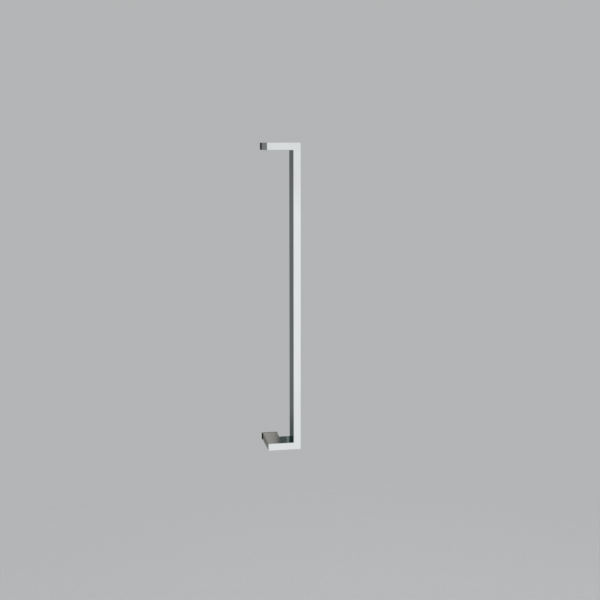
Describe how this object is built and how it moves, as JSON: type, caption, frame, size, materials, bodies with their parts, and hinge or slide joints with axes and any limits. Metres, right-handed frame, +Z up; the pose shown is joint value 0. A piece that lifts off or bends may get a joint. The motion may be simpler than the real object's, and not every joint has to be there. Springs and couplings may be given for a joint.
{
  "type": "door push bar",
  "caption": "Offset door push bar of square-edged polished flat steel: a tall bar on edge, with an arm at each end that runs sideways and turns back to the door.",
  "frame": {"origin": "on the door's face, midway between the centres of the fixings", "axes": "+Z up along the bar, +Y into the door, +X across the door from the fixings towards the bar"},
  "size_m": [0.0563, 0.07, 0.512],
  "materials": {
    "polished_steel": "mirror polished",
    "pad_black": "matte",
    "spigot_steel": "turned",
    "screw_steel": "blackened"
  },
  "bodies": {
    "root": {"handle_body": "polished_steel", "upper_pad": "pad_black", "lower_pad": "pad_black", "upper_spigot": "spigot_steel", "lower_spigot": "spigot_steel", "upper_set_screw": "screw_steel", "lower_set_screw": "screw_steel"}
  },
  "joints": []
}
